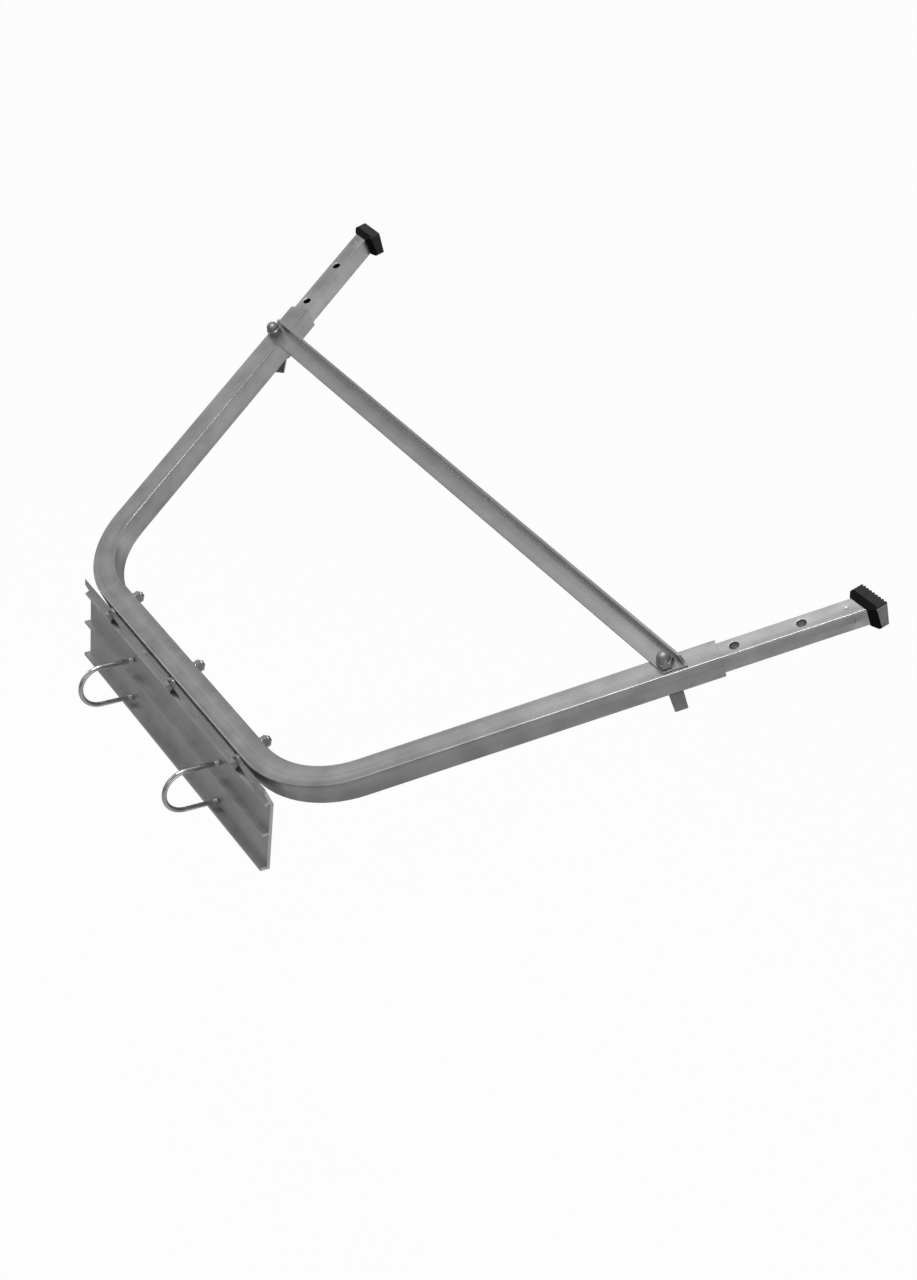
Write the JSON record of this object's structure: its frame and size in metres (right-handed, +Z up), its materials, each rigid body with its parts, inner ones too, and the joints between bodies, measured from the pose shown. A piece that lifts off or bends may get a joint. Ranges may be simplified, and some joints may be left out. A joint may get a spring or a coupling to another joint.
{
  "type": "ladder standoff",
  "caption": "Bent square-tube ladder standoff: U-bolts clamp its bracket to a rung, and telescoping arms with rubber feet hold the ladder off a wall.",
  "frame": {"origin": "on the axis of the rung that the two U-bolts clamp, halfway between the U-bolts", "axes": "+X along the rung to the user's right, +Y away from the ladder towards the wall, +Z up along the ladder's stiles"},
  "size_m": [1.1392, 0.63, 0.4034],
  "materials": {
    "frame_tube": "mill-finish extrusion with fine lines along its length",
    "arm_tube": "mill-finish extrusion with fine lines along its length",
    "brace": "mill-finish extrusion, satin",
    "bracket": "mill-finish extrusion, satin",
    "zinc": "bright zinc plating",
    "lock_steel": "zinc-plated pressed steel, satin",
    "rubber": "moulded matt rubber"
  },
  "bodies": {
    "frame": {"u_frame_tube": "frame_tube", "cross_brace": "brace", "mounting_bracket": "bracket", "lock_washer_left": "zinc", "lock_washer_right": "zinc", "lock_dome_nuts": "zinc", "frame_bolts": "zinc", "frame_spacers": "zinc", "frame_bolt_washers": "zinc", "frame_lock_nuts": "zinc", "u_bolt_washers": "zinc"},
    "arm_left": {"arm_tube_left": "arm_tube", "foot_left": "rubber"},
    "arm_right": {"arm_tube_right": "arm_tube", "foot_right": "rubber"},
    "screw_left": {"lock_screw_left": "lock_steel"},
    "screw_right": {"lock_screw_right": "lock_steel"},
    "u_bolt_left": {"u_bolt_left": "zinc"},
    "u_bolt_right": {"u_bolt_right": "zinc"},
    "nut_left_upper": {"u_bolt_nut_left_upper": "zinc"},
    "nut_left_lower": {"u_bolt_nut_left_lower": "zinc"},
    "nut_right_upper": {"u_bolt_nut_right_upper": "zinc"},
    "nut_right_lower": {"u_bolt_nut_right_lower": "zinc"}
  },
  "joints": [
    {"name": "arm_slide_left", "type": "slide", "parent": "frame", "child": "arm_left", "axis": [-0.4147, 0.8071, 0.4202], "range_m": [-0.00045, 0.00045]},
    {"name": "lock_turn_left", "type": "hinge", "parent": "frame", "child": "screw_left", "pos_m": [-0.4575, 0.40489, 0.25506], "axis": [0, -0.4617, 0.887], "continuous": true},
    {"name": "u_bolt_slide_left", "type": "slide", "parent": "frame", "child": "u_bolt_left", "axis": [0, -1, 0], "range_m": [0, 0.01]},
    {"name": "nut_turn_left_upper", "type": "hinge", "parent": "frame", "child": "nut_left_upper", "pos_m": [-0.121, 0.049, 0.027], "axis": [0, 1, 0], "continuous": true},
    {"name": "nut_turn_left_lower", "type": "hinge", "parent": "frame", "child": "nut_left_lower", "pos_m": [-0.121, 0.049, -0.027], "axis": [0, 1, 0], "continuous": true},
    {"name": "arm_slide_right", "type": "slide", "parent": "frame", "child": "arm_right", "axis": [0.4147, 0.8071, 0.4202], "range_m": [-0.00045, 0.00045]},
    {"name": "lock_turn_right", "type": "hinge", "parent": "frame", "child": "screw_right", "pos_m": [0.4575, 0.40489, 0.25506], "axis": [0, -0.4617, 0.887], "continuous": true},
    {"name": "u_bolt_slide_right", "type": "slide", "parent": "frame", "child": "u_bolt_right", "axis": [0, -1, 0], "range_m": [0, 0.01]},
    {"name": "nut_turn_right_upper", "type": "hinge", "parent": "frame", "child": "nut_right_upper", "pos_m": [0.121, 0.049, 0.027], "axis": [0, 1, 0], "continuous": true},
    {"name": "nut_turn_right_lower", "type": "hinge", "parent": "frame", "child": "nut_right_lower", "pos_m": [0.121, 0.049, -0.027], "axis": [0, 1, 0], "continuous": true}
  ]
}
